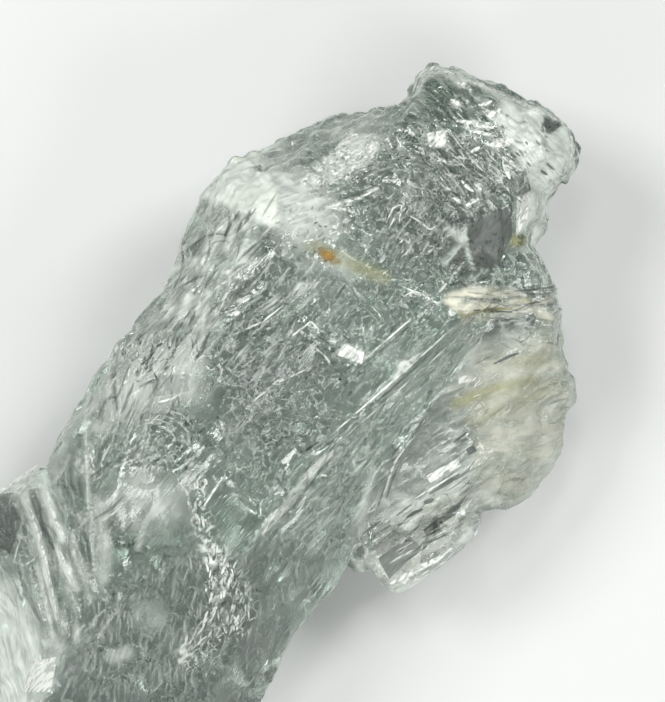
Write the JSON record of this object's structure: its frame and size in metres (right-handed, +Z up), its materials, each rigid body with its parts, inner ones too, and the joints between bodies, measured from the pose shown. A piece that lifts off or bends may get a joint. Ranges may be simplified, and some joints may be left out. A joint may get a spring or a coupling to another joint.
{
  "type": "rough aquamarine crystal",
  "caption": "Clear pale blue-green beryl prism with an etched knobbly head, a slab grown along one side, a block crystal under the slab and a broken lower end.",
  "frame": {"origin": "centre of the bounding box on the floor that the crystal lies on", "axes": "+Y along the prism towards its head, +X across it towards the side slab, +Z up, away from the flat face that it lies on"},
  "size_m": [0.0292, 0.0584, 0.0164],
  "materials": {
    "beryl": "clear pale blue-green crystal, etched and frosted in places",
    "veil": "white veils, threads and fibres grown into the crystal",
    "stain": "yellow and orange iron stain in a crack"
  },
  "bodies": {
    "root": {"aquamarine_crystal": "beryl"}
  },
  "joints": []
}
